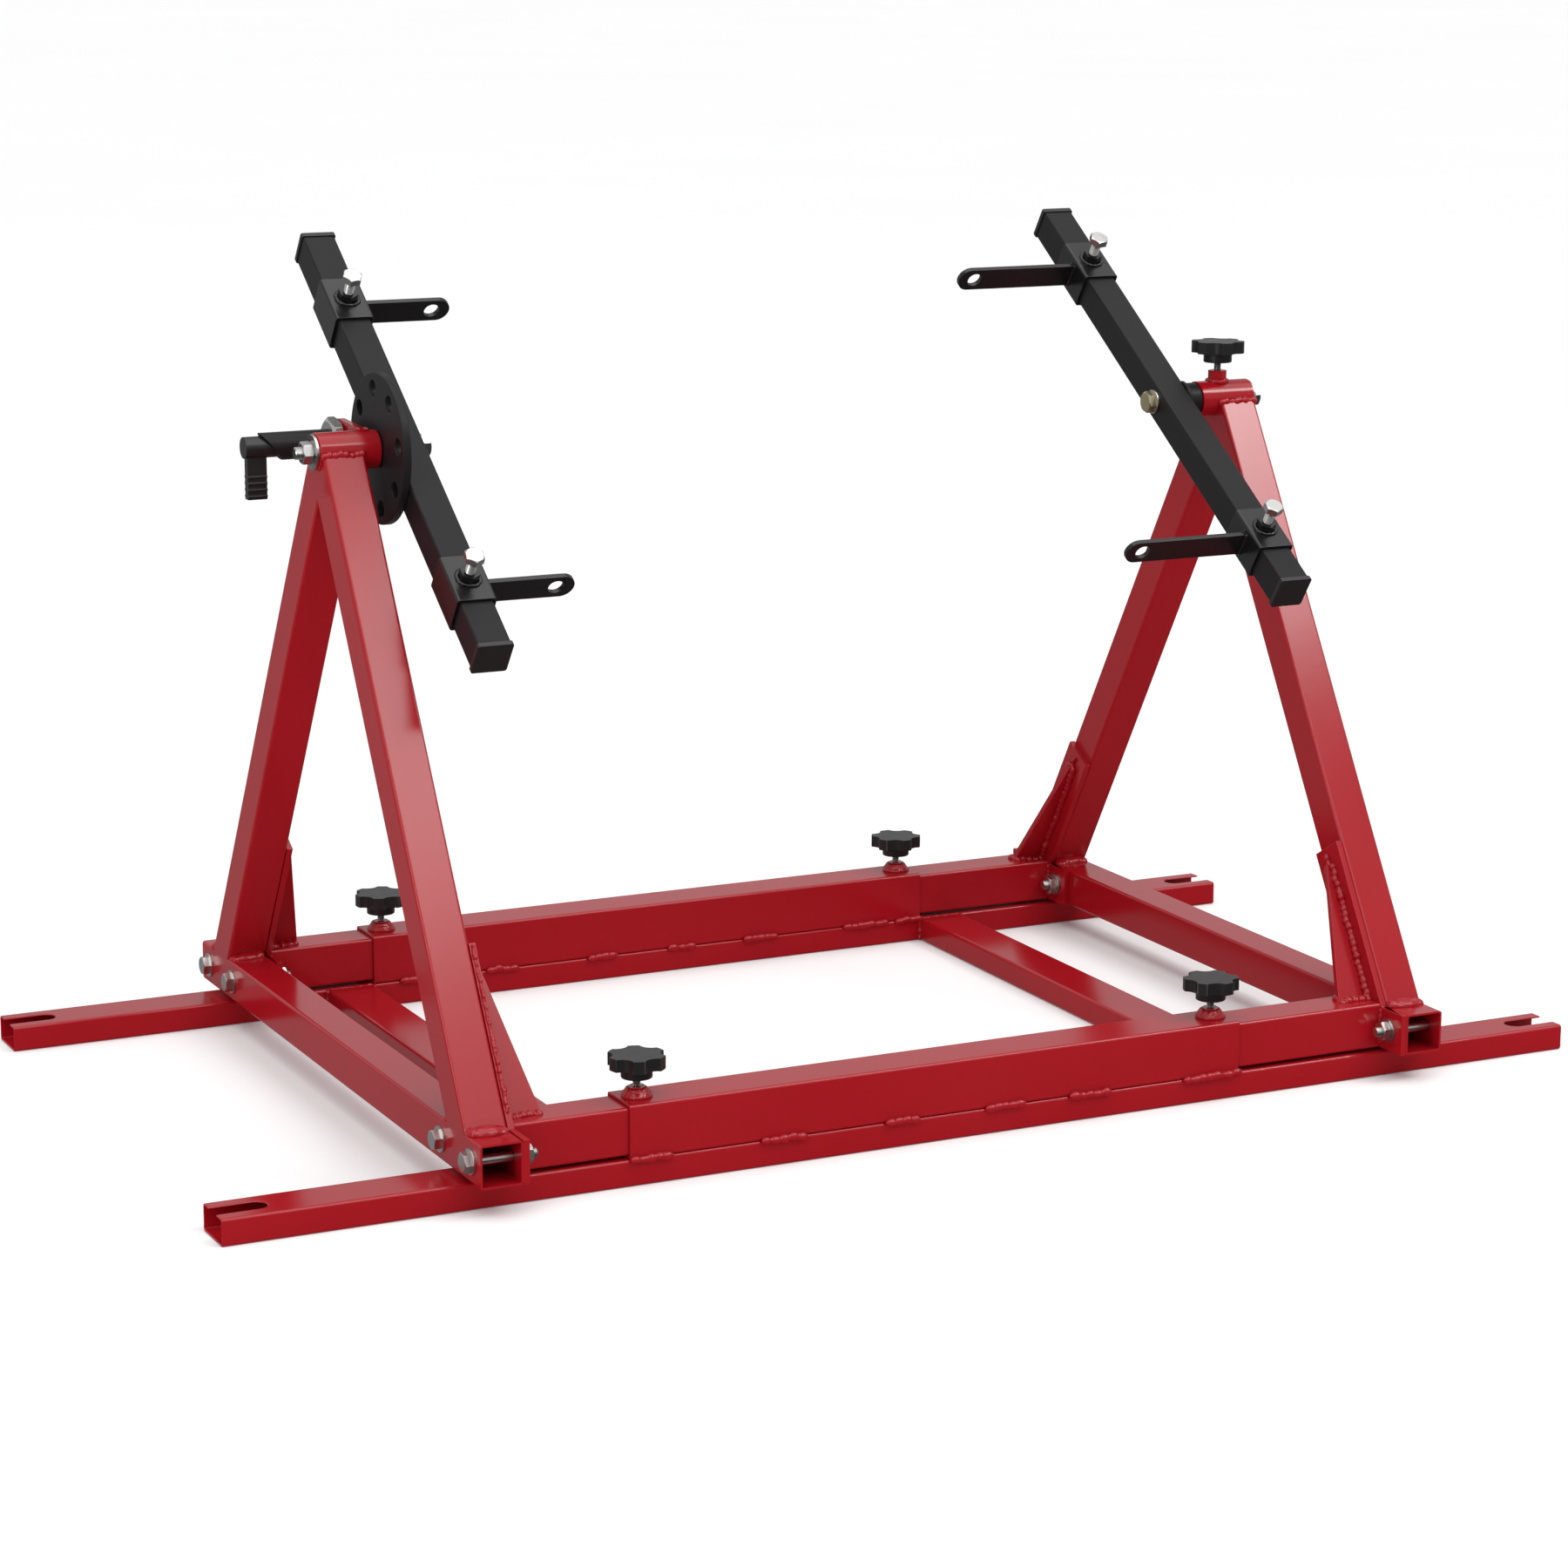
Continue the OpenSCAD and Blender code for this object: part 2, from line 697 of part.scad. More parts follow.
arm_tube(left);  // left_arm_tube
arm_caps(left);  // left_arm_caps
index_disc();
spindle(left);  // left_spindle
pivot_bolt(left);  // left_pivot_bolt
arm_tube(right);  // right_arm_tube
arm_caps(right);  // right_arm_caps
spindle(right);  // right_spindle
pivot_bolt(right);  // right_pivot_bolt

collar(left, 0);  // left_collar_upper
collar(left, 1);  // left_collar_lower
collar(right, 0);  // right_collar_upper
collar(right, 1);  // right_collar_lower
collar_bolt(left, 0);  // left_collar_bolt_upper
collar_bolt(left, 1);  // left_collar_bolt_lower
collar_bolt(right, 0);  // right_collar_bolt_upper
collar_bolt(right, 1);  // right_collar_bolt_lower

width_knob(left, front);  // knob_front_left
width_knob(right, front);  // knob_front_right
width_knob(left, rear);  // knob_rear_left
width_knob(right, rear);  // knob_rear_right
barrel_knob();  // knob_barrel
width_stud(left, front);  // stud_front_left
width_stud(right, front);  // stud_front_right
width_stud(left, rear);  // stud_rear_left
width_stud(right, rear);  // stud_rear_right
barrel_stud();  // stud_barrel

index_pin();
index_lever();
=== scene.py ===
import json
import math
import random

import bpy
from mathutils import Matrix, Vector


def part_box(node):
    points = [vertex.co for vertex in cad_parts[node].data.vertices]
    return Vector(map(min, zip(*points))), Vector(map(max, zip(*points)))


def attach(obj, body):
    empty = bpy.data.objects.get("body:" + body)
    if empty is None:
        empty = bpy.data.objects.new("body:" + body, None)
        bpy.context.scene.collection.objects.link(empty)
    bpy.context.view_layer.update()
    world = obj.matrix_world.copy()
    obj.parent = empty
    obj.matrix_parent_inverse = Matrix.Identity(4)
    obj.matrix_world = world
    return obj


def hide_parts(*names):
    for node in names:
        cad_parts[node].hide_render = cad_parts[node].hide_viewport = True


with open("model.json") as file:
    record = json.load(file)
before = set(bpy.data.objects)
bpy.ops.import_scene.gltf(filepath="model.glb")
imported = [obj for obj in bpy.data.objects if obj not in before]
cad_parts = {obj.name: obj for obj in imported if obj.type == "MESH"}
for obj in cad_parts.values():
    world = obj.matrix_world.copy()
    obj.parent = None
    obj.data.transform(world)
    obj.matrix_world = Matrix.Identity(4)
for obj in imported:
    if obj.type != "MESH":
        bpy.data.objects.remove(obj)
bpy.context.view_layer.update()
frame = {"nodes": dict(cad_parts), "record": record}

# ---- Studio ------------------------------------------------------------------------------
# A long lens from the front left, a little above the stand. The floor is a pale seamless
# sweep, lit by a wide bank overhead, soft boxes at the front right and a strip at the left.

lens_mm = 92.3
camera_place = Vector((-1.6853, -3.4493, 1.1229))
look_turn = math.radians(63.903)
look_down = math.radians(12.60)
camera_roll = math.radians(0.2)

look = Vector((
    math.cos(look_down) * math.cos(look_turn),
    math.cos(look_down) * math.sin(look_turn),
    -math.sin(look_down),
))
bpy.ops.object.camera_add(location=camera_place)
camera = bpy.context.object
camera.rotation_euler = (
    look.to_track_quat("-Z", "Y").to_matrix() @ Matrix.Rotation(camera_roll, 3, "Z")
).to_euler()
camera.data.lens = lens_mm
camera.data.sensor_width = 36
camera.data.clip_end = 200
bpy.context.scene.camera = camera


def linear(hex_colour):
    """sRGB hex, such as "#9b1b25", to the linear colour that a shader takes."""
    values = [int(hex_colour[i:i + 2], 16) / 255 for i in (1, 3, 5)]
    return [v / 12.92 if v <= 0.04045 else ((v + 0.055) / 1.055) ** 2.4 for v in values] + [1]


def add_node(material, kind, inputs=None):
    """Adds a node; each input is a value or another node's output."""
    node = material.node_tree.nodes.new(kind)
    for name, value in (inputs or {}).items():
        if isinstance(value, bpy.types.NodeSocket):
            material.node_tree.links.new(value, node.inputs[name])
        else:
            node.inputs[name].default_value = value
    return node


def new_material(name):
    material = bpy.data.materials.new(name)
    material.use_nodes = True
    material.node_tree.nodes.clear()
    return material


def finish_surface(material, shader):
    add_node(material, "ShaderNodeOutputMaterial", {"Surface": shader.outputs["BSDF"]})


floor_paper = new_material("matt_white_paper")
paper_place = add_node(floor_paper, "ShaderNodeTexCoord")
paper_tone = add_node(floor_paper, "ShaderNodeTexNoise", {
    "Vector": paper_place.outputs["Object"], "Scale": 0.6, "Detail": 2.0})
paper_ramp = add_node(floor_paper, "ShaderNodeMixRGB", {
    "Fac": paper_tone.outputs["Fac"], "Color1": linear("#f4f4f3"), "Color2": linear("#f7f7f6")})
paper_shader = add_node(floor_paper, "ShaderNodeBsdfPrincipled", {
    "Base Color": paper_ramp.outputs["Color"], "Roughness": 0.9})
finish_surface(floor_paper, paper_shader)

floor_size = 80
bpy.ops.mesh.primitive_plane_add(size=floor_size, location=(0, 0, 0))
floor = bpy.context.object
floor.name = "studio_floor"
floor.data.materials.append(floor_paper)

# The floor lights the stand from below, but its white isn't mirrored in the gloss
floor.visible_glossy = False

# The room is pale above the floor line; below it, dim in front and grey behind
sky = bpy.data.worlds.new("studio_sky")
sky.use_nodes = True
sky_way = add_node(sky, "ShaderNodeTexCoord")
sky_split = add_node(sky, "ShaderNodeSeparateXYZ", {"Vector": sky_way.outputs["Generated"]})
sky_height = add_node(sky, "ShaderNodeMapRange", {
    "Value": sky_split.outputs["Z"], "From Min": -0.03, "From Max": 0.12})
sky_back = add_node(sky, "ShaderNodeMapRange", {
    "Value": sky_split.outputs["Y"], "From Min": -0.3, "From Max": 0.6})
sky_low = add_node(sky, "ShaderNodeMixRGB", {
    "Fac": sky_back.outputs["Result"], "Color1": linear("#3c3c3e"), "Color2": linear("#8e8e90")})
sky_tone = add_node(sky, "ShaderNodeMixRGB", {
    "Fac": sky_height.outputs["Result"], "Color1": sky_low.outputs["Color"],
    "Color2": linear("#c4c4c6")})
sky_light = sky.node_tree.nodes["Background"]
sky.node_tree.links.new(sky_tone.outputs["Color"], sky_light.inputs["Color"])
bpy.context.scene.world = sky
bpy.context.scene.view_settings.view_transform = "Standard"


def soft_box(name, place, aim, size, watts):
    bpy.ops.object.light_add(type="AREA", location=place)
    light = bpy.context.object
    light.name = name
    light.rotation_euler = (Vector(aim) - Vector(place)).to_track_quat("-Z", "Y").to_euler()
    light.data.shape = "RECTANGLE"
    light.data.size = size[0]
    light.data.size_y = size[1]
    light.data.energy = watts


bpy.ops.object.light_add(type="SUN", location=(0, 0, 4), rotation=(math.radians(14), 0, 0))
overhead = bpy.context.object
overhead.name = "overhead_bank"
overhead.data.energy = 1.8
overhead.data.angle = math.radians(80)
soft_box("front_box", (1.5, -2.1, 3.1), (0, 0, 0.4), (2.4, 0.7), 22)
soft_box("right_box", (2.45, -1.85, 2.95), (0.5, 0, 0.5), (0.7, 0.7), 13)
soft_box("left_strip", (-3.4, -1.6, 1.35), (0, 0, 0.4), (0.4, 2.0), 24)

# ---- Painted steel sections --------------------------------------------------------------
# Mild steel tube and flat bar, sawn and welded, then dipped in red powder and baked. The
# coat is glossy, with the shallow ripple of baked powder, and it rounds every sawn edge.

MM = 0.001
powder_ripple = 7 * MM
powder_grain = 1.6 * MM

red_powder_coat = new_material("red_powder_coat_gloss")
red_place = add_node(red_powder_coat, "ShaderNodeTexCoord")
red_cloud = add_node(red_powder_coat, "ShaderNodeTexNoise", {
    "Vector": red_place.outputs["Object"], "Scale": 1 / (180 * MM), "Detail": 2.0})
red_tone = add_node(red_powder_coat, "ShaderNodeMixRGB", {
    "Fac": red_cloud.outputs["Fac"], "Color1": linear("#960d17"), "Color2": linear("#9e111b")})
red_sheen = add_node(red_powder_coat, "ShaderNodeMapRange", {
    "Value": red_cloud.outputs["Fac"], "To Min": 0.13, "To Max": 0.21})
# Baked powder is never flat: a slow ripple bends reflections, and a fine grain softens them
red_ripple = add_node(red_powder_coat, "ShaderNodeTexNoise", {
    "Vector": red_place.outputs["Object"], "Scale": 1 / powder_ripple, "Detail": 1.0})
red_bump = add_node(red_powder_coat, "ShaderNodeBump", {
    "Height": red_ripple.outputs["Fac"], "Strength": 0.12, "Distance": 0.25 * MM})
red_grain = add_node(red_powder_coat, "ShaderNodeTexNoise", {
    "Vector": red_place.outputs["Object"], "Scale": 1 / powder_grain, "Detail": 2.0})
red_fine = add_node(red_powder_coat, "ShaderNodeBump", {
    "Height": red_grain.outputs["Fac"], "Normal": red_bump.outputs["Normal"],
    "Strength": 0.1, "Distance": 0.05 * MM})
red_shader = add_node(red_powder_coat, "ShaderNodeBsdfPrincipled", {
    "Base Color": red_tone.outputs["Color"], "Roughness": red_sheen.outputs["Result"],
    "Normal": red_fine.outputs["Normal"], "IOR": 1.5,
    "Specular IOR Level": 0.42})
finish_surface(red_powder_coat, red_shader)

edge_round = 1.2 * MM
smooth_angle = math.radians(35)


def select_only(*pieces):
    bpy.ops.object.select_all(action="DESELECT")
    for piece in pieces:
        piece.select_set(True)
    bpy.context.view_layer.objects.active = pieces[0]


def apply_modifiers(piece):
    select_only(piece)
    for modifier in list(piece.modifiers):
        bpy.ops.object.modifier_apply(modifier=modifier.name)


def round_edges(piece, width, segments=2, angle=38):
    """Rounds the edges that turn by more than the angle, and keeps the flats flat."""
    bevel = piece.modifiers.new("rounded_edges", "BEVEL")
    bevel.width = width
    bevel.segments = segments
    bevel.limit_method = "ANGLE"
    bevel.angle_limit = math.radians(angle)
    bevel.use_clamp_overlap = True
    apply_modifiers(piece)
    bpy.ops.object.shade_smooth_by_angle(angle=smooth_angle)
    weigh = piece.modifiers.new("flat_faces_first", "WEIGHTED_NORMAL")
    weigh.keep_sharp = True
    apply_modifiers(piece)


def dressed(node, material, width=edge_round):
    """A merged copy of a frame node, its edges rounded and its surface finished."""
    source = frame["nodes"][node]
    piece = bpy.data.objects.new(node + "_part", source.data.copy())
    bpy.context.collection.objects.link(piece)
    select_only(piece)
    bpy.ops.object.mode_set(mode="EDIT")
    bpy.ops.mesh.select_all(action="SELECT")
    bpy.ops.mesh.remove_doubles(threshold=0.002 * MM)
    bpy.ops.mesh.dissolve_limited(angle_limit=math.radians(0.5))
    bpy.ops.object.mode_set(mode="OBJECT")
    piece.data.materials.clear()
    piece.data.materials.append(material)
    round_edges(piece, width)
    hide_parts(node)
    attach(piece, body_of_node[node])
    return piece


body_of_node = {
    node: body
    for body, nodes in frame["record"]["behaviour"]["bodies"].items() for node in nodes}

red_sections = [
    "rail_front", "rail_rear", "sleeve_front", "sleeve_rear", "floor_bar_left",
    "floor_bar_right", "sleeve_nuts", "barrel_nut", "index_lug"]
for side in ("left", "right"):
    red_sections += [f"{side}_{part}" for part in (
        "slide_front", "slide_rear", "bracket_front", "bracket_rear", "cross_tube",
        "leg_front", "leg_rear", "barrel")]
for node in red_sections:
    dressed(node, red_powder_coat)

# ---- Black arms, disc, spindles and collars ----------------------------------------------
# Square tube, plate and bar in a satin black powder coat, which shows a soft broad sheen and
# a fine grain. The collars and straps are a little glossier than the arms.

satin_black = new_material("black_powder_coat_satin")
satin_place = add_node(satin_black, "ShaderNodeTexCoord")
satin_cloud = add_node(satin_black, "ShaderNodeTexNoise", {
    "Vector": satin_place.outputs["Object"], "Scale": 1 / (90 * MM), "Detail": 3.0})
satin_tone = add_node(satin_black, "ShaderNodeMixRGB", {
    "Fac": satin_cloud.outputs["Fac"], "Color1": linear("#191718"), "Color2": linear("#1f1d1f")})
satin_sheen = add_node(satin_black, "ShaderNodeMapRange", {
    "Value": satin_cloud.outputs["Fac"], "To Min": 0.36, "To Max": 0.46})
satin_grain = add_node(satin_black, "ShaderNodeTexNoise", {
    "Vector": satin_place.outputs["Object"], "Scale": 1 / powder_grain, "Detail": 3.0})
satin_bump = add_node(satin_black, "ShaderNodeBump", {
    "Height": satin_grain.outputs["Fac"], "Strength": 0.25, "Distance": 0.08 * MM})
satin_shader = add_node(satin_black, "ShaderNodeBsdfPrincipled", {
    "Base Color": satin_tone.outputs["Color"], "Roughness": satin_sheen.outputs["Result"],
    "Normal": satin_bump.outputs["Normal"], "IOR": 1.5,
    "Specular IOR Level": 0.2})
finish_surface(satin_black, satin_shader)

gloss_black = new_material("black_powder_coat_gloss")
gloss_place = add_node(gloss_black, "ShaderNodeTexCoord")
gloss_cloud = add_node(gloss_black, "ShaderNodeTexNoise", {
    "Vector": gloss_place.outputs["Object"], "Scale": 1 / (60 * MM), "Detail": 3.0})
gloss_tone = add_node(gloss_black, "ShaderNodeMixRGB", {
    "Fac": gloss_cloud.outputs["Fac"], "Color1": linear("#101011"), "Color2": linear("#161617")})
gloss_sheen = add_node(gloss_black, "ShaderNodeMapRange", {
    "Value": gloss_cloud.outputs["Fac"], "To Min": 0.2, "To Max": 0.3})
gloss_ripple = add_node(gloss_black, "ShaderNodeTexNoise", {
    "Vector": gloss_place.outputs["Object"], "Scale": 1 / (4 * MM), "Detail": 1.0})
gloss_bump = add_node(gloss_black, "ShaderNodeBump", {
    "Height": gloss_ripple.outputs["Fac"], "Strength": 0.2, "Distance": 0.2 * MM})
gloss_shader = add_node(gloss_black, "ShaderNodeBsdfPrincipled", {
    "Base Color": gloss_tone.outputs["Color"], "Roughness": gloss_sheen.outputs["Result"],
    "Normal": gloss_bump.outputs["Normal"], "IOR": 1.5})
finish_surface(gloss_black, gloss_shader)

for node in ("left_arm_tube", "right_arm_tube", "index_disc", "left_spindle", "right_spindle",
             "index_body"):
    dressed(node, satin_black)
for side in ("left", "right"):
    for end in ("upper", "lower"):
        collar = dressed(f"{side}_collar_{end}", gloss_black, 0.8 * MM)

# ---- Frames of the towers and arms -------------------------------------------------------
# The towers are one right-hand shape, mirrored for the left. Each place below is measured
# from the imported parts, so that welds and fasteners sit on the steel they belong to.

fixed = Matrix.Identity(4)
low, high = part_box("rail_front")
gauge_y = -(low[1] + high[1]) / 2
rail_half_w = (high[1] - low[1]) / 2
rail_top = high[2]
sleeve_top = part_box("sleeve_front")[1][2]
deck_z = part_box("right_cross_tube")[1][2]
tube_size = deck_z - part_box("right_cross_tube")[0][2]
slide_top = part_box("right_slide_front")[1][2]
slide_half = (slide_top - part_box("right_slide_front")[0][2]) / 2
pivot_z = sum(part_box("right_barrel")[i][2] for i in (0, 1)) / 2
barrel_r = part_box("right_barrel")[1][2] - pivot_z
plate_t = 6 * MM
apex_drop = 8 * MM
leg_lean = math.atan(gauge_y / (pivot_z - apex_drop - deck_z))
arm_lean = {"left": math.radians(53.7), "right": math.radians(56)}
side_sign = {"left": -1, "right": 1}


def tower_in(side):
    """Distance of the tower's inner plane from the middle of the stand."""
    low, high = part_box(f"{side}_cross_tube")
    return min(abs(low[0]), abs(high[0]))


def barrel_span(side):
    low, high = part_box(f"{side}_barrel")
    return sorted((abs(low[0]), abs(high[0])))


def arm_centre(side):
    low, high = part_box(f"{side}_arm_tube")
    return abs(low[0] + high[0]) / 2


def leg_frame(side, row):
    """Foot of a leg, +Z up along it; x is the distance outwards from the stand's middle."""
    return (Matrix.Diagonal((side_sign[side], -row, 1, 1))
            @ Matrix.Translation((0, -gauge_y, deck_z))
            @ Matrix.Rotation(-leg_lean, 4, "X"))


def arm_frame(side):
    """Turning axis of an arm, +Z along its upper end, -Y towards its set bolts."""
    return (Matrix.Translation((side_sign[side] * arm_centre(side), 0, pivot_z))
            @ Matrix.Rotation(-arm_lean[side], 4, "X"))


# ---- Welds -------------------------------------------------------------------------------
# Hand-laid steel weld: a chain of overlapping lumps where two pieces meet, under the same
# coat as the steel around it. Short stitches hold the sleeves, long beads the gussets.

random.seed(7)
lumps = []
bpy.ops.mesh.primitive_ico_sphere_add(subdivisions=2, radius=0.5)
lump_blank = bpy.context.object


def lump(place, along, width, length, height):
    """One lump of weld at a place, longer along its seam."""
    piece = bpy.data.objects.new("lump", lump_blank.data.copy())
    bpy.context.collection.objects.link(piece)
    along = Vector(along).normalized()
    turn = along.to_track_quat("X", "Z").to_matrix().to_4x4()
    uneven = [random.uniform(0.85, 1.15) for _ in range(3)]
    size = Matrix.Diagonal((length * uneven[0], width * uneven[1], height * uneven[2], 1))
    piece.data.transform(Matrix.Translation(place) @ turn @ size)
    lumps.append(piece)


def bead(start, end, width, height, pitch, frame_of=fixed, wander=0.0):
    """A run of lumps between two points, given in a frame."""
    start, end = frame_of @ Vector(start), frame_of @ Vector(end)
    count = max(2, round((end - start).length / pitch))
    for i in range(count + 1):
        drift = Vector(random.uniform(-wander, wander) for _ in range(3))
        lump(start.lerp(end, i / count) + drift, end - start, width, 1.5 * pitch, height)


def ring(centre, radius, axis, width, height, pitch, frame_of=fixed, start=0, turn=360):
    """A bead round a circle about the X or Z axis of a frame."""
    count = max(3, round(math.radians(turn) * radius / pitch))
    for i in range(count):
        a = math.radians(start + turn * i / count)
        c, s = math.cos(a), math.sin(a)
        out = Vector((0, c, s) if axis == "X" else (c, s, 0))
        along = Vector((0, -s, c) if axis == "X" else (-s, c, 0))
        place = frame_of @ (Vector(centre) + radius * out)
        lump(place, frame_of.to_3x3() @ along, width, 1.7 * pitch, height)


def weld_piece(name, body, material, voxel=0.9 * MM):
    """Fuses the lumps laid so far into one smooth weld that rides on a body."""
    select_only(*lumps)
    bpy.ops.object.join()
    piece = bpy.context.object
    piece.name = name
    fuse = piece.modifiers.new("fused", "REMESH")
    fuse.mode = "VOXEL"
    fuse.voxel_size = voxel
    melt = piece.modifiers.new("melted", "SMOOTH")
    melt.factor = 0.5
    melt.iterations = 2
    apply_modifiers(piece)
    bpy.ops.object.shade_smooth()
    piece.data.materials.clear()
    piece.data.materials.append(material)
    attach(piece, body)
    lumps.clear()


# Stitches along the seam between sleeve and rail: where each starts and ends
front_stitches = [
    (-311, -280), (-183, -147), (-57, -31), (48, 78), (136, 170), (259, 291), (296, 313)]
rear_stitches = [
    (-282, -255), (-187, -161), (-73, -51), (20, 41), (108, 138), (228, 250), (256, 272), (291, 313)]
seam_out = 0.8 * MM
for row, stitches in ((-1, front_stitches), (1, rear_stitches)):
    for face in (-1, 1):
        seam_y = row * gauge_y + face * (rail_half_w + seam_out)
        for first, last in stitches:
            bead((first * MM, seam_y, rail_top), (last * MM, seam_y, rail_top),
                 8.5 * MM, 8 * MM, 8.5 * MM, wander=0.6 * MM)
# Floor bars: a bead down each corner with the rails
for side in ("left", "right"):
    low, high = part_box(f"floor_bar_{side}")
    for x in (low[0], high[0]):
        for y in (low[1], high[1]):
            bead((x, y, low[2] + 3 * MM), (x, y, high[2] - 3 * MM), 7 * MM, 7 * MM, 4 * MM,
                 wander=0.4 * MM)
    for y in (low[1], high[1]):
        bead((low[0] + 5 * MM, y, high[2] - 1 * MM), (high[0] - 5 * MM, y, high[2] - 1 * MM),
             6 * MM, 4 * MM, 5 * MM, wander=0.4 * MM)
# Knob nuts: a ring of weld round each foot
nut_across = 15.5 * MM
for knob in ("front_left", "front_right", "rear_left", "rear_right"):
    low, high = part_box(f"stud_{knob}")
    for out, rise, thick in ((4, 1, 6), (2.2, 3.6, 6), (0.8, 6.6, 4.5)):
        centre = ((low[0] + high[0]) / 2, (low[1] + high[1]) / 2, sleeve_top + rise * MM)
        ring(centre, nut_across / 2 + out * MM, "Z", thick * MM, thick * MM, 5.5 * MM)
weld_piece("frame_welds", "floor_frame", red_powder_coat)

gusset_h = 140 * MM
gusset_foot = 33 * MM
bar_len = 158 * MM
foot_weld_out = 2.5 * MM
slide_weld_len = 30 * MM
leg_foot_half = tube_size / 2 / math.cos(leg_lean)
for side in ("left", "right"):
    inner = tower_in(side)
    plate_in = inner - plate_t
    for row in (-1, 1):
        leg = leg_frame(side, row)
        yard = Matrix.Diagonal((side_sign[side], -row, 1, 1))
        # Foot of the leg: an oval of weld at its front and its back on the cross tube
        for face in (-1, 1):
            y = -gauge_y + face * (leg_foot_half + foot_weld_out)
            middle = yard @ Vector((inner + tube_size / 2, y, deck_z + 0.5 * MM))
            lump(middle, (1, 0, 0), 21 * MM, 36 * MM, 13 * MM)
            bead((inner + 7 * MM, y, deck_z), (inner + tube_size - 7 * MM, y, deck_z),
                 17 * MM, 11 * MM, 9 * MM, yard, 1.2 * MM)
        # Gusset: a long rippled bead on each side of it, and one round its foot
        for face in (-1, 1):
            y = face * (plate_t / 2 + 1.6 * MM)
            bead((plate_in - 1 * MM, y, 8 * MM), (plate_in - 1 * MM, y, gusset_h - 4 * MM),
                 9.5 * MM, 8.5 * MM, 6 * MM, leg, 0.8 * MM)
            lift = (slide_top - deck_z) * math.tan(leg_lean)
            y = -gauge_y + lift + face * (plate_t / 2 + 1.5 * MM)
            bead((plate_in - 2 * MM, y, slide_top), (plate_in - gusset_foot + 2 * MM, y, slide_top),
                 12 * MM, 9 * MM, 6.5 * MM, yard, 0.8 * MM)
        # Blobs where the gusset's two beads end
        for rise, size in ((0, 8), (8, 7)):
            place = leg @ Vector((plate_in - 1 * MM, 0, gusset_h + rise * MM))
            lump(place, leg.to_3x3() @ Vector((0, 0, 1)), size * MM, 9 * MM, 5 * MM)
        # The left front plate was cut by torch: its front edge is left rippled
        if side == "left" and row == -1:
            edge = plate_in + plate_t / 2
            bead((edge, -tube_size / 2, 4 * MM), (edge, -tube_size / 2, bar_len - 3 * MM),
                 4.4 * MM, 5.6 * MM, 3.6 * MM, leg, 0.5 * MM)
        # Slide to plate: beads down both sides of the slide
        for face in (-1, 1):
            y = -gauge_y + face * slide_half
            top = deck_z - 4 * MM
            bead((plate_in, y, top), (plate_in, y, top - slide_weld_len),
                 5 * MM, 5 * MM, 5 * MM, yard, 0.4 * MM)
        # Leg to barrel: an uneven bead along the barrel's flank
        bead((inner + 2 * MM, -barrel_r, pivot_z - 2 * MM),
             (inner + tube_size - 2 * MM, -barrel_r, pivot_z - 2 * MM),
             7.5 * MM, 8 * MM, 5.5 * MM, yard, 1 * MM)
    if side == "left":
        low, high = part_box("index_lug")
        for x in (low[0] - 0.5 * MM, high[0] + 0.5 * MM):
            ring((x, 0, pivot_z), barrel_r + 0.8 * MM, "X", 4 * MM, 4 * MM, 4 * MM,
                 start=20, turn=85)
    else:
        low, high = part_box("stud_barrel")
        centre = ((low[0] + high[0]) / 2, 0, pivot_z + barrel_r - 0.5 * MM)
        ring(centre, nut_across / 2 + 1.5 * MM, "Z", 6 * MM, 6 * MM, 6 * MM)
    weld_piece(f"{side}_tower_welds", f"{side}_tower", red_powder_coat)

arm_half = 16 * MM
disc_stitch = (34 * MM, 58 * MM)
shoulder_r = 16.75 * MM
for side in ("left", "right"):
    arm = arm_frame(side)
    out = side_sign[side] * (arm_half + 0.3 * MM)
    if side == "left":
        for face in (-1, 1):
            for end in (-1, 1):
                bead((out, face * arm_half, end * disc_stitch[0]),
                     (out, face * arm_half, end * disc_stitch[1]), 6 * MM, 6 * MM, 5 * MM, arm,
                     0.4 * MM)
    else:
        ring((out + 0.5 * MM, 0, 0), shoulder_r + 0.5 * MM, "X", 5 * MM, 4 * MM, 5 * MM, arm)
    weld_piece(f"{side}_arm_welds", f"{side}_arm", satin_black)

collar_half = 19 * MM
collar_at = {"left": (184 * MM, -188 * MM), "right": (202 * MM, -210.5 * MM)}
strap_half_w = 12.5 * MM
for side in ("left", "right"):
    for end, height in zip(("upper", "lower"), collar_at[side]):
        collar = arm_frame(side) @ Matrix.Translation((0, 0, height))
        stand_off = collar @ Matrix.Rotation(math.radians(90), 4, "X")
        ring((0, 0, collar_half), 10.5 * MM, "Z", 6 * MM, 4.5 * MM, 6 * MM, stand_off)
        inward = -side_sign[side] * collar_half
        for face in (-1, 1):
            bead((inward, -strap_half_w + 2 * MM, face * 3 * MM),
                 (inward, strap_half_w - 2 * MM, face * 3 * MM), 4.5 * MM, 4.5 * MM, 5 * MM,
                 collar, 0.4 * MM)
        weld_piece(f"{side}_{end}_collar_welds", f"{side}_{end}_collar", gloss_black)
bpy.data.objects.remove(lump_blank)

# ---- Hexagon bolts, nuts and washers -----------------------------------------------------
# Cold-headed steel with rolled threads, zinc plated and clear passivated: bright, with a
# faint blue and straw tint. The heads and nuts have turned chamfers on their corners.

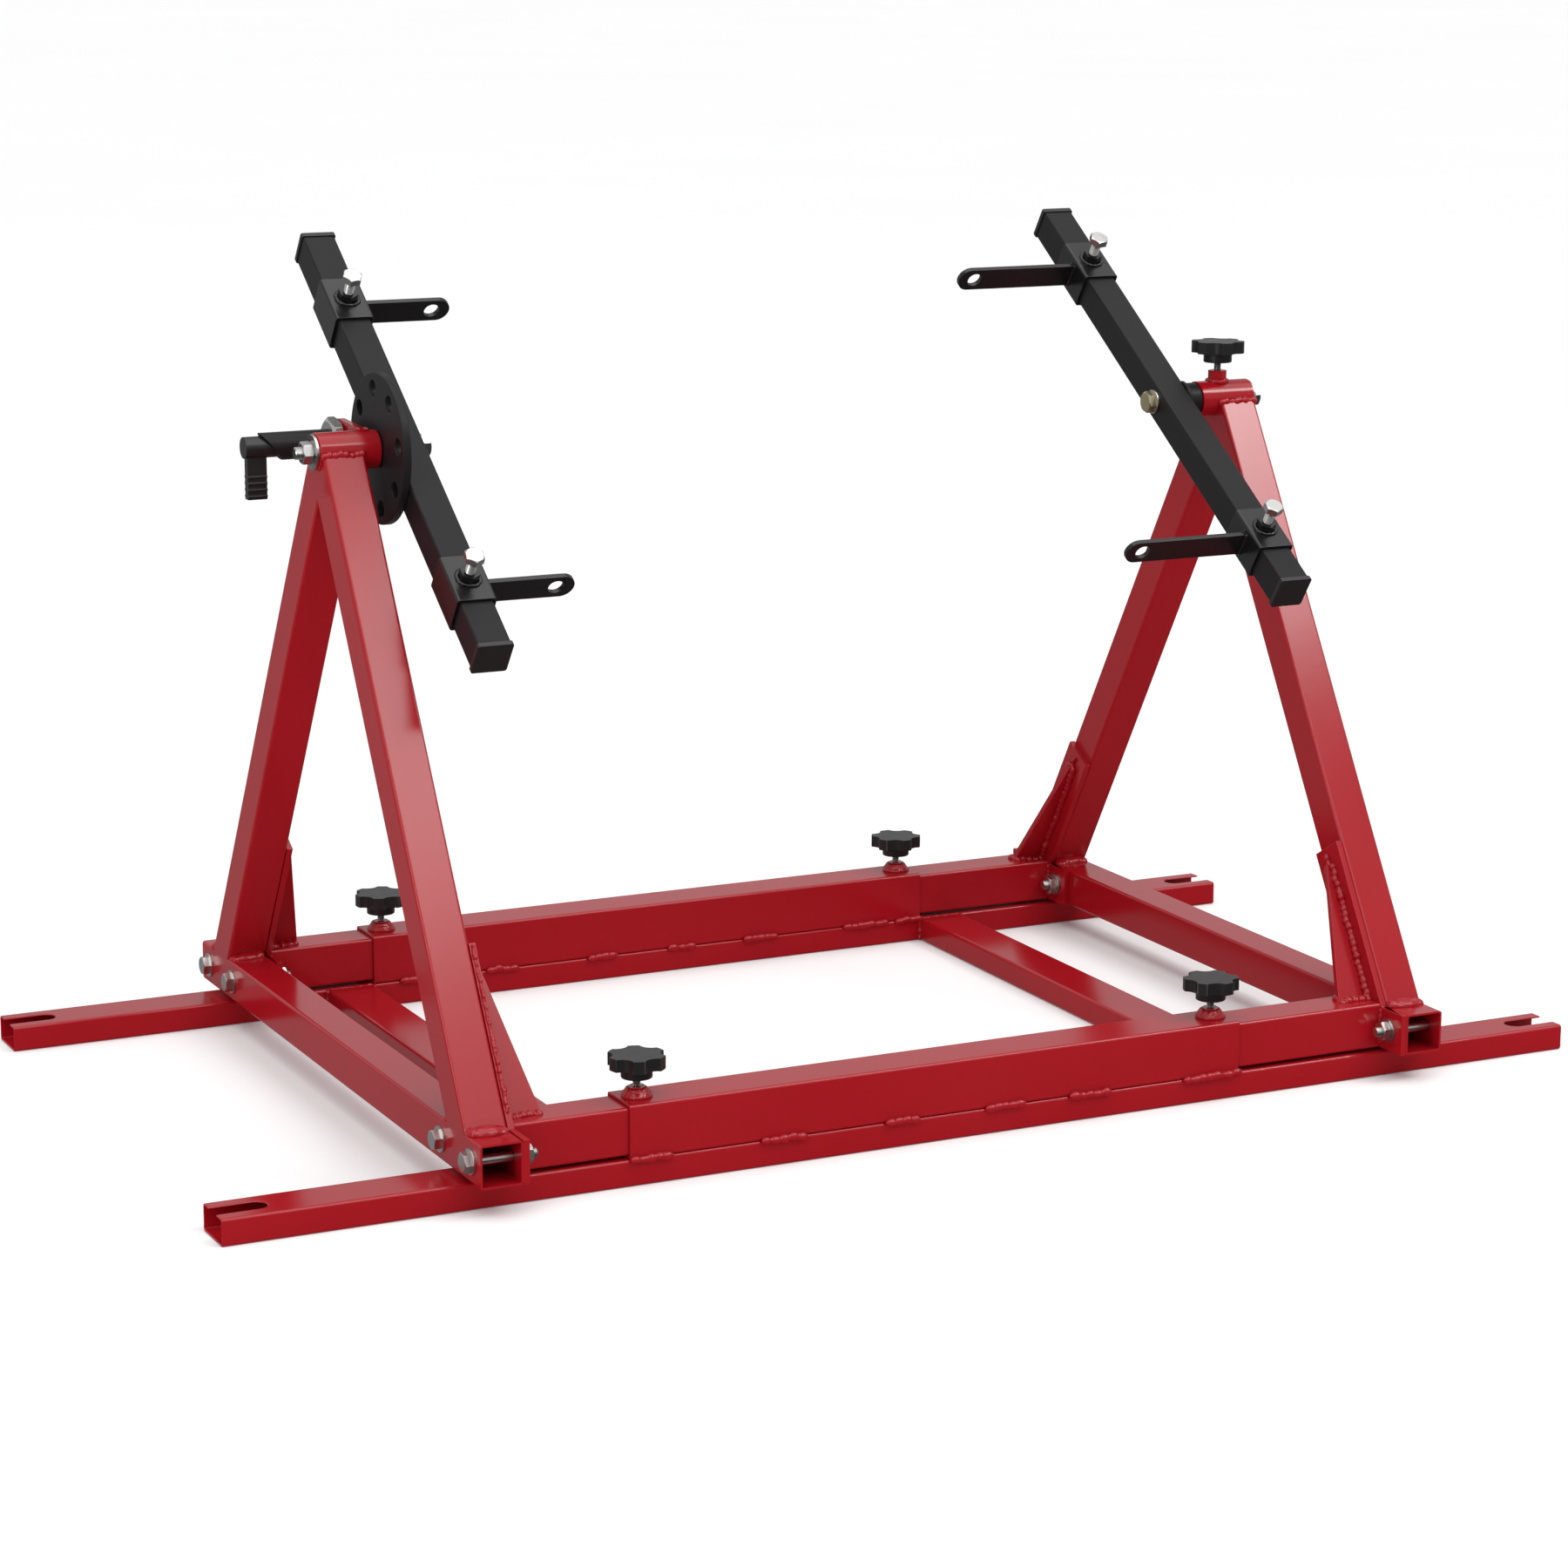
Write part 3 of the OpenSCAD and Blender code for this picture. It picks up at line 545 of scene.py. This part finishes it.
bright_zinc = new_material("zinc_plated_steel")
zinc_place = add_node(bright_zinc, "ShaderNodeTexCoord")
zinc_cloud = add_node(bright_zinc, "ShaderNodeTexNoise", {
    "Vector": zinc_place.outputs["Object"], "Scale": 1 / (9 * MM), "Detail": 4.0})
zinc_tone = add_node(bright_zinc, "ShaderNodeMixRGB", {
    "Fac": zinc_cloud.outputs["Fac"], "Color1": linear("#c4c6c8"), "Color2": linear("#d8d5cb")})
zinc_sheen = add_node(bright_zinc, "ShaderNodeMapRange", {
    "Value": zinc_cloud.outputs["Fac"], "To Min": 0.2, "To Max": 0.38})
zinc_grain = add_node(bright_zinc, "ShaderNodeTexNoise", {
    "Vector": zinc_place.outputs["Object"], "Scale": 1 / (0.9 * MM), "Detail": 2.0})
zinc_bump = add_node(bright_zinc, "ShaderNodeBump", {
    "Height": zinc_grain.outputs["Fac"], "Strength": 0.15, "Distance": 0.05 * MM})
zinc_shader = add_node(bright_zinc, "ShaderNodeBsdfPrincipled", {
    "Base Color": zinc_tone.outputs["Color"], "Roughness": zinc_sheen.outputs["Result"],
    "Normal": zinc_bump.outputs["Normal"], "Metallic": 1.0})
finish_surface(bright_zinc, zinc_shader)


face_share = 0.47
chamfer_slope = 0.62


def turn_corners(piece, across, height, both_ends, place=fixed):
    """Turns the corners of a hexagonal piece down to a flat cone at its top, or both ends."""
    corner_r = across / 2 / math.cos(math.radians(30))
    face_r = face_share * across
    slope = (corner_r - face_r) * chamfer_slope
    low_slope = slope if both_ends else 0
    bpy.ops.mesh.primitive_cylinder_add(
        vertices=96, radius=corner_r * 1.003, depth=height - slope - low_slope,
        location=(0, 0, low_slope + (height - slope - low_slope) / 2))
    turned = bpy.context.object
    bpy.ops.object.transform_apply(location=True)
    for way in (1, -1) if both_ends else (1,):
        bpy.ops.object.mode_set(mode="EDIT")
        bpy.ops.mesh.select_mode(type="FACE")
        bpy.ops.mesh.select_all(action="DESELECT")
        bpy.ops.object.mode_set(mode="OBJECT")
        for face in turned.data.polygons:
            face.select = face.normal.z * way > 0.9
        bpy.ops.object.mode_set(mode="EDIT")
        bpy.ops.mesh.extrude_region_move(
            TRANSFORM_OT_translate={"value": (0, 0, way * (slope + 0.02 * MM))})
        bpy.ops.transform.resize(value=(face_r / corner_r, face_r / corner_r, 1))
        bpy.ops.object.mode_set(mode="OBJECT")
    turned.data.transform(place)
    cut = piece.modifiers.new("turned_corners", "BOOLEAN")
    cut.operation = "INTERSECT"
    cut.object = turned
    cut.solver = "EXACT"
    apply_modifiers(piece)
    bpy.data.objects.remove(turned)


def hexagon(across, height, both_ends=False):
    """Hexagon standing on z = 0, its corners turned down at the top or at both ends."""
    corner_r = across / 2 / math.cos(math.radians(30))
    bpy.ops.mesh.primitive_cylinder_add(
        vertices=6, radius=corner_r, depth=height, location=(0, 0, height / 2),
        rotation=(0, 0, math.radians(30)))
    piece = bpy.context.object
    bpy.ops.object.transform_apply(location=True, rotation=True)
    turn_corners(piece, across, height, both_ends)
    round_edges(piece, 0.3 * MM, 2, 20)
    return piece


def washer(radius, hole_r, thickness):
    """Flat washer standing on z = 0."""
    bpy.ops.mesh.primitive_cylinder_add(
        vertices=48, radius=radius, depth=thickness, location=(0, 0, thickness / 2))
    piece = bpy.context.object
    bpy.ops.object.transform_apply(location=True)
    bpy.ops.object.mode_set(mode="EDIT")
    bpy.ops.mesh.select_all(action="DESELECT")
    bpy.ops.object.mode_set(mode="OBJECT")
    for face in piece.data.polygons:
        face.select = abs(face.normal.z) > 0.9
    bpy.ops.object.mode_set(mode="EDIT")
    bpy.ops.mesh.inset(thickness=radius - hole_r, depth=0)
    bpy.ops.mesh.bridge_edge_loops()
    bpy.ops.object.mode_set(mode="OBJECT")
    round_edges(piece, 0.3 * MM, 2, 38)
    return piece


def threaded_rod(radius, plain, threaded, pitch):
    """Shank from z = 0: a plain length, then a rolled thread with a chamfered end."""
    root = 0.88
    bpy.ops.mesh.primitive_circle_add(vertices=24, radius=radius, fill_type="NGON")
    piece = bpy.context.object
    bpy.ops.object.mode_set(mode="EDIT")
    bpy.ops.mesh.select_all(action="SELECT")
    steps = []
    if plain > 0:
        steps.append((plain, 1))
    for _ in range(int(threaded / pitch)):
        steps += [(pitch * 0.45, root), (pitch * 0.1, 1), (pitch * 0.45, 1 / root)]
    steps.append((pitch * 0.7, root * 0.95))
    for rise, grow in steps:
        bpy.ops.mesh.extrude_region_move(TRANSFORM_OT_translate={"value": (0, 0, rise)})
        bpy.ops.transform.resize(value=(grow, grow, 1))
    bpy.ops.mesh.select_all(action="SELECT")
    bpy.ops.mesh.normals_make_consistent(inside=False)
    bpy.ops.object.mode_set(mode="OBJECT")
    bpy.ops.object.shade_smooth_by_angle(angle=smooth_angle)
    return piece


def moved(piece, *steps):
    """Moves a piece's mesh by matrices, the last one first."""
    move = Matrix.Identity(4)
    for step in steps:
        move = move @ step
    piece.data.transform(move)
    return piece


def copied(piece):
    copy = piece.copy()
    copy.data = piece.data.copy()
    bpy.context.collection.objects.link(copy)
    return copy


def joined(name, pieces, material):
    select_only(*pieces)
    if len(pieces) > 1:
        bpy.ops.object.join()
    piece = bpy.context.object
    piece.name = name
    piece.data.materials.clear()
    piece.data.materials.append(material)
    return piece


def shift(x, y, z):
    return Matrix.Translation((x, y, z))


def spun(degrees, axis):
    return Matrix.Rotation(math.radians(degrees), 4, axis)


# Corner bolt along +Z, its head's underside at z = 0
grip = tube_size + plate_t
washer_t = 2 * MM
corner_r = 5 * MM
nut_h = 8 * MM
head_h = 7 * MM
across_m10 = 17 * MM
bolt_end = 5 * MM
plain_shank = grip + 2 * washer_t
corner_head = moved(hexagon(across_m10, head_h), spun(180, "X"))
corner_rod = threaded_rod(corner_r, plain_shank - 3 * MM, 3 * MM + nut_h + bolt_end, 1.5 * MM)
head_washer = washer(12 * MM, 5.3 * MM, washer_t)
nut_washer = moved(copied(head_washer), shift(0, 0, grip + washer_t))
corner_nut = moved(hexagon(across_m10, nut_h, True), shift(0, 0, plain_shank), spun(17, "Z"))
corner_set = joined("corner_set", [corner_head, corner_rod, head_washer, nut_washer, corner_nut],
                    bright_zinc)

bolt_out = 36 * MM
bolt_z = deck_z - tube_size / 2
for side, sign in side_sign.items():
    outer = sign * (tower_in(side) + tube_size + washer_t)
    inwards = spun(-90 * sign, "Y")
    bolts = []
    for i, y in enumerate(
            row * (gauge_y + step * bolt_out) for row in (-1, 1) for step in (-1, 1)):
        bolts.append(moved(copied(corner_set), shift(outer, y, bolt_z), inwards,
                           spun(13 + 23 * i, "Z")))
    piece = joined(f"{side}_corner_bolts_part", bolts, bright_zinc)
    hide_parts(f"{side}_corner_bolts")
    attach(piece, f"{side}_tower")
bpy.data.objects.remove(corner_set)

# Pivot bolts, M12: head on the arm's inner face, washer and nut beyond the barrel. The head
# of the right one has a yellow passivated zinc coat, which gives it a straw colour.
straw_zinc = bright_zinc.copy()
straw_zinc.name = "yellow_passivated_zinc"
straw_tone = straw_zinc.node_tree.nodes[zinc_tone.name]
straw_tone.inputs["Color1"].default_value = linear("#c3b68c")
straw_tone.inputs["Color2"].default_value = linear("#d6cda9")
pivot_r = 6 * MM
across_m12 = 19 * MM
pivot_head_h = 8 * MM
pivot_nut_h = 10 * MM
pivot_len = 123 * MM
big_washer_t = 2.5 * MM
for side, sign in side_sign.items():
    head_x = arm_centre(side) - arm_half - big_washer_t
    parts = [washer(12 * MM, 6.4 * MM, big_washer_t)]
    reach = barrel_span(side)[1] + 0.4 * MM - head_x
    parts.append(moved(hexagon(across_m12, pivot_head_h), spun(180, "X"), spun(11, "Z")))
    parts.append(threaded_rod(pivot_r, reach, pivot_len - reach - 1.2 * MM, 1.75 * MM))
    parts.append(moved(washer(16.5 * MM, 6.4 * MM, big_washer_t), shift(0, 0, reach)))
    parts.append(moved(hexagon(across_m12, pivot_nut_h, True),
                       shift(0, 0, reach + big_washer_t), spun(20, "Z")))
    piece = joined(f"{side}_pivot_bolt_part", parts, bright_zinc)
    if side == "right":
        piece.data.materials.append(straw_zinc)
        for face in piece.data.polygons:
            face.material_index = int(face.center.z < -0.1 * MM)
    moved(piece, shift(sign * head_x, 0, pivot_z), spun(90 * sign, "Y"))
    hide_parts(f"{side}_pivot_bolt")
    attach(piece, f"{side}_arm")

# Set bolts of the collars, threaded all the way
set_bolt_r = 4.9 * MM
bare_thread = 14 * MM
tip = arm_half + 0.4 * MM
head_at = collar_half + nut_h + bare_thread
for side in side_sign:
    for end, height in zip(("upper", "lower"), collar_at[side]):
        rod = moved(threaded_rod(set_bolt_r, 0, head_at - tip - 1.1 * MM, 1.5 * MM), spun(180, "X"))
        head = hexagon(across_m10, head_h)
        piece = joined(f"{side}_collar_bolt_{end}_part", [head, rod], bright_zinc)
        turn = 8 if end == "upper" else 24
        moved(piece, arm_frame(side), shift(0, -head_at, height), spun(90, "X"), spun(turn, "Z"))
        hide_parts(f"{side}_collar_bolt_{end}")
        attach(piece, f"{side}_{end}_set_bolt")

# Lock nut of the index plunger
index_nut = dressed("index_nut", bright_zinc, 0.4 * MM)
index_nut_low, index_nut_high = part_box("index_nut")
index_y = 55 * MM
across_index_nut = 42 * MM
turn_corners(index_nut, across_index_nut, index_nut_high[0] - index_nut_low[0], True,
             shift(index_nut_low[0], index_y, pivot_z) @ spun(90, "Y"))
round_edges(index_nut, 0.8 * MM, 3, 20)

# ---- Star knobs --------------------------------------------------------------------------
# Moulded black plastic: a flat head with six broad lobes, over a round hub. The steel stud
# is moulded in. The plastic has a fine satin grain and soft mould edges.

moulded_black = new_material("moulded_black_nylon")
mould_place = add_node(moulded_black, "ShaderNodeTexCoord")
mould_cloud = add_node(moulded_black, "ShaderNodeTexNoise", {
    "Vector": mould_place.outputs["Object"], "Scale": 1 / (12 * MM), "Detail": 3.0})
mould_tone = add_node(moulded_black, "ShaderNodeMixRGB", {
    "Fac": mould_cloud.outputs["Fac"], "Color1": linear("#151414"), "Color2": linear("#1c1b1a")})
mould_sheen = add_node(moulded_black, "ShaderNodeMapRange", {
    "Value": mould_cloud.outputs["Fac"], "To Min": 0.34, "To Max": 0.46})
mould_grain = add_node(moulded_black, "ShaderNodeTexNoise", {
    "Vector": mould_place.outputs["Object"], "Scale": 1 / (0.8 * MM), "Detail": 2.0})
mould_bump = add_node(moulded_black, "ShaderNodeBump", {
    "Height": mould_grain.outputs["Fac"], "Strength": 0.2, "Distance": 0.06 * MM})
mould_shader = add_node(moulded_black, "ShaderNodeBsdfPrincipled", {
    "Base Color": mould_tone.outputs["Color"], "Roughness": mould_sheen.outputs["Result"],
    "Normal": mould_bump.outputs["Normal"], "IOR": 1.53})
finish_surface(moulded_black, mould_shader)

knob_r = 26.5 * MM
knob_hub_r = 14.25 * MM
knob_hub_h = 9.5 * MM
knob_head_h = 12 * MM
scallops = 6
scallop_r = 11 * MM
scallop_at = 32.5 * MM

bpy.ops.mesh.primitive_cylinder_add(
    vertices=96, radius=knob_r, depth=knob_head_h, location=(0, 0, knob_hub_h + knob_head_h / 2))
knob_head = bpy.context.object
bpy.ops.object.transform_apply(location=True)
for i in range(scallops):
    angle = math.radians(360 * (i + 0.5) / scallops)
    bpy.ops.mesh.primitive_cylinder_add(
        vertices=48, radius=scallop_r, depth=5 * knob_head_h,
        location=(scallop_at * math.cos(angle), scallop_at * math.sin(angle), knob_hub_h))
    cutter = bpy.context.object
    cut = knob_head.modifiers.new("scallop", "BOOLEAN")
    cut.operation = "DIFFERENCE"
    cut.object = cutter
    cut.solver = "EXACT"
    apply_modifiers(knob_head)
    bpy.data.objects.remove(cutter)
round_edges(knob_head, 2 * MM, 4, 30)
bpy.ops.mesh.primitive_cylinder_add(
    vertices=64, radius=knob_hub_r, depth=knob_hub_h + 2 * MM,
    location=(0, 0, knob_hub_h / 2 + 1 * MM))
knob_hub = bpy.context.object
bpy.ops.object.transform_apply(location=True)
round_edges(knob_hub, 1 * MM, 3, 38)
knob_model = joined("knob_model", [knob_head, knob_hub], moulded_black)

stud_r = 3.7 * MM
knob_bodies = {
    "front_left": 12, "front_right": 40, "rear_left": 5, "rear_right": 31, "barrel": 20}
for knob, turn in knob_bodies.items():
    stud_low, stud_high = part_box(f"stud_{knob}")
    centre_x, centre_y = [(a + b) / 2 for a, b in zip(stud_low, stud_high)][:2]
    hub_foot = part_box(f"knob_{knob}")[0][2]
    piece = moved(copied(knob_model), shift(centre_x, centre_y, hub_foot), spun(turn, "Z"))
    piece.name = f"knob_{knob}_part"
    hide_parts(f"knob_{knob}")
    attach(piece, f"{knob}_knob")
    length = stud_high[2] - stud_low[2]
    stud = threaded_rod(stud_r, 0.4 * MM, length - 1.4 * MM, 1.25 * MM)
    moved(stud, shift(centre_x, centre_y, stud_high[2]), spun(180, "X"))
    stud = joined(f"stud_{knob}_part", [stud], bright_zinc)
    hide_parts(f"stud_{knob}")
    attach(stud, f"{knob}_knob")
bpy.data.objects.remove(knob_model)

# ---- End caps ----------------------------------------------------------------------------
# Moulded black plastic plugs pressed into the arm ends, their heads a little wider than the
# tube and softly rounded.

for side in side_sign:
    dressed(f"{side}_arm_caps", moulded_black, 1.2 * MM)

# ---- Index plunger -----------------------------------------------------------------------
# A steel pin in a black threaded body. Its plastic lever has a round hub on the pin and a
# flat paddle hanging from it, ribbed at the lower end for the fingers.

dressed("index_pin", bright_zinc, 0.8 * MM)
dressed("index_lever", moulded_black, 0.9 * MM)
